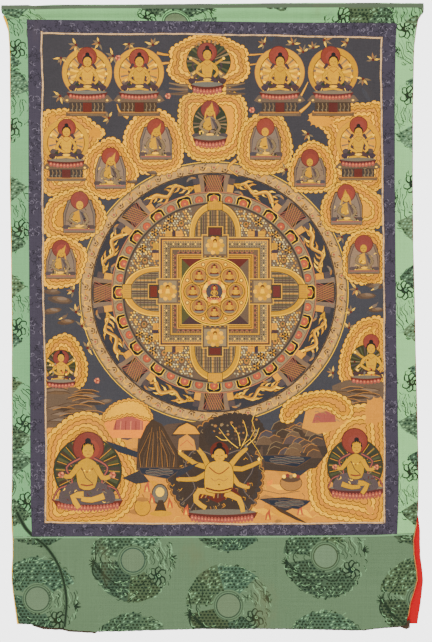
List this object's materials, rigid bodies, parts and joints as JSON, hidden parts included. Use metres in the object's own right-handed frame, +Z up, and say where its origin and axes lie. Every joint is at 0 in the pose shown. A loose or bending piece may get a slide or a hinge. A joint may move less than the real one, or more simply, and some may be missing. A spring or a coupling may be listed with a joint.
{
  "type": "hanging scroll painting in a cloth mount",
  "caption": "Painted canvas in a piped dark border, hung in a figured silk mount with a sleeve hem along the top and a plain skirt below.",
  "frame": {"origin": "the middle of the sleeve's top edge, where the wall holds the hanging", "axes": "+Z up, +X to the viewer's right along the sleeve, -Y the way the painted face looks, +Y towards the wall"},
  "size_m": [0.633, 0.0172, 0.9465],
  "materials": {
    "damask": "figured green silk, matt ground with a woven design",
    "brocade": "dark blue-violet figured silk, worn",
    "paint": "matt mineral paint and gold on primed cotton",
    "gold_cord": "pale gold folded silk piping",
    "yellow_silk": "thin plain yellow silk",
    "red_silk": "thin plain red silk",
    "brown_cloth": "plain dark brown cotton"
  },
  "bodies": {
    "root": {"header": "damask", "side_left": "damask", "side_right": "damask", "skirt": "damask", "border_top": "brocade", "border_bottom": "brocade", "border_left": "brocade", "border_right": "brocade", "painting": "paint", "piping_top": "gold_cord", "piping_bottom": "gold_cord", "piping_left": "gold_cord", "piping_right": "gold_cord", "facing_left": "yellow_silk", "facing_right": "red_silk", "facing_piping": "yellow_silk", "facing_hem": "brown_cloth"}
  },
  "joints": []
}
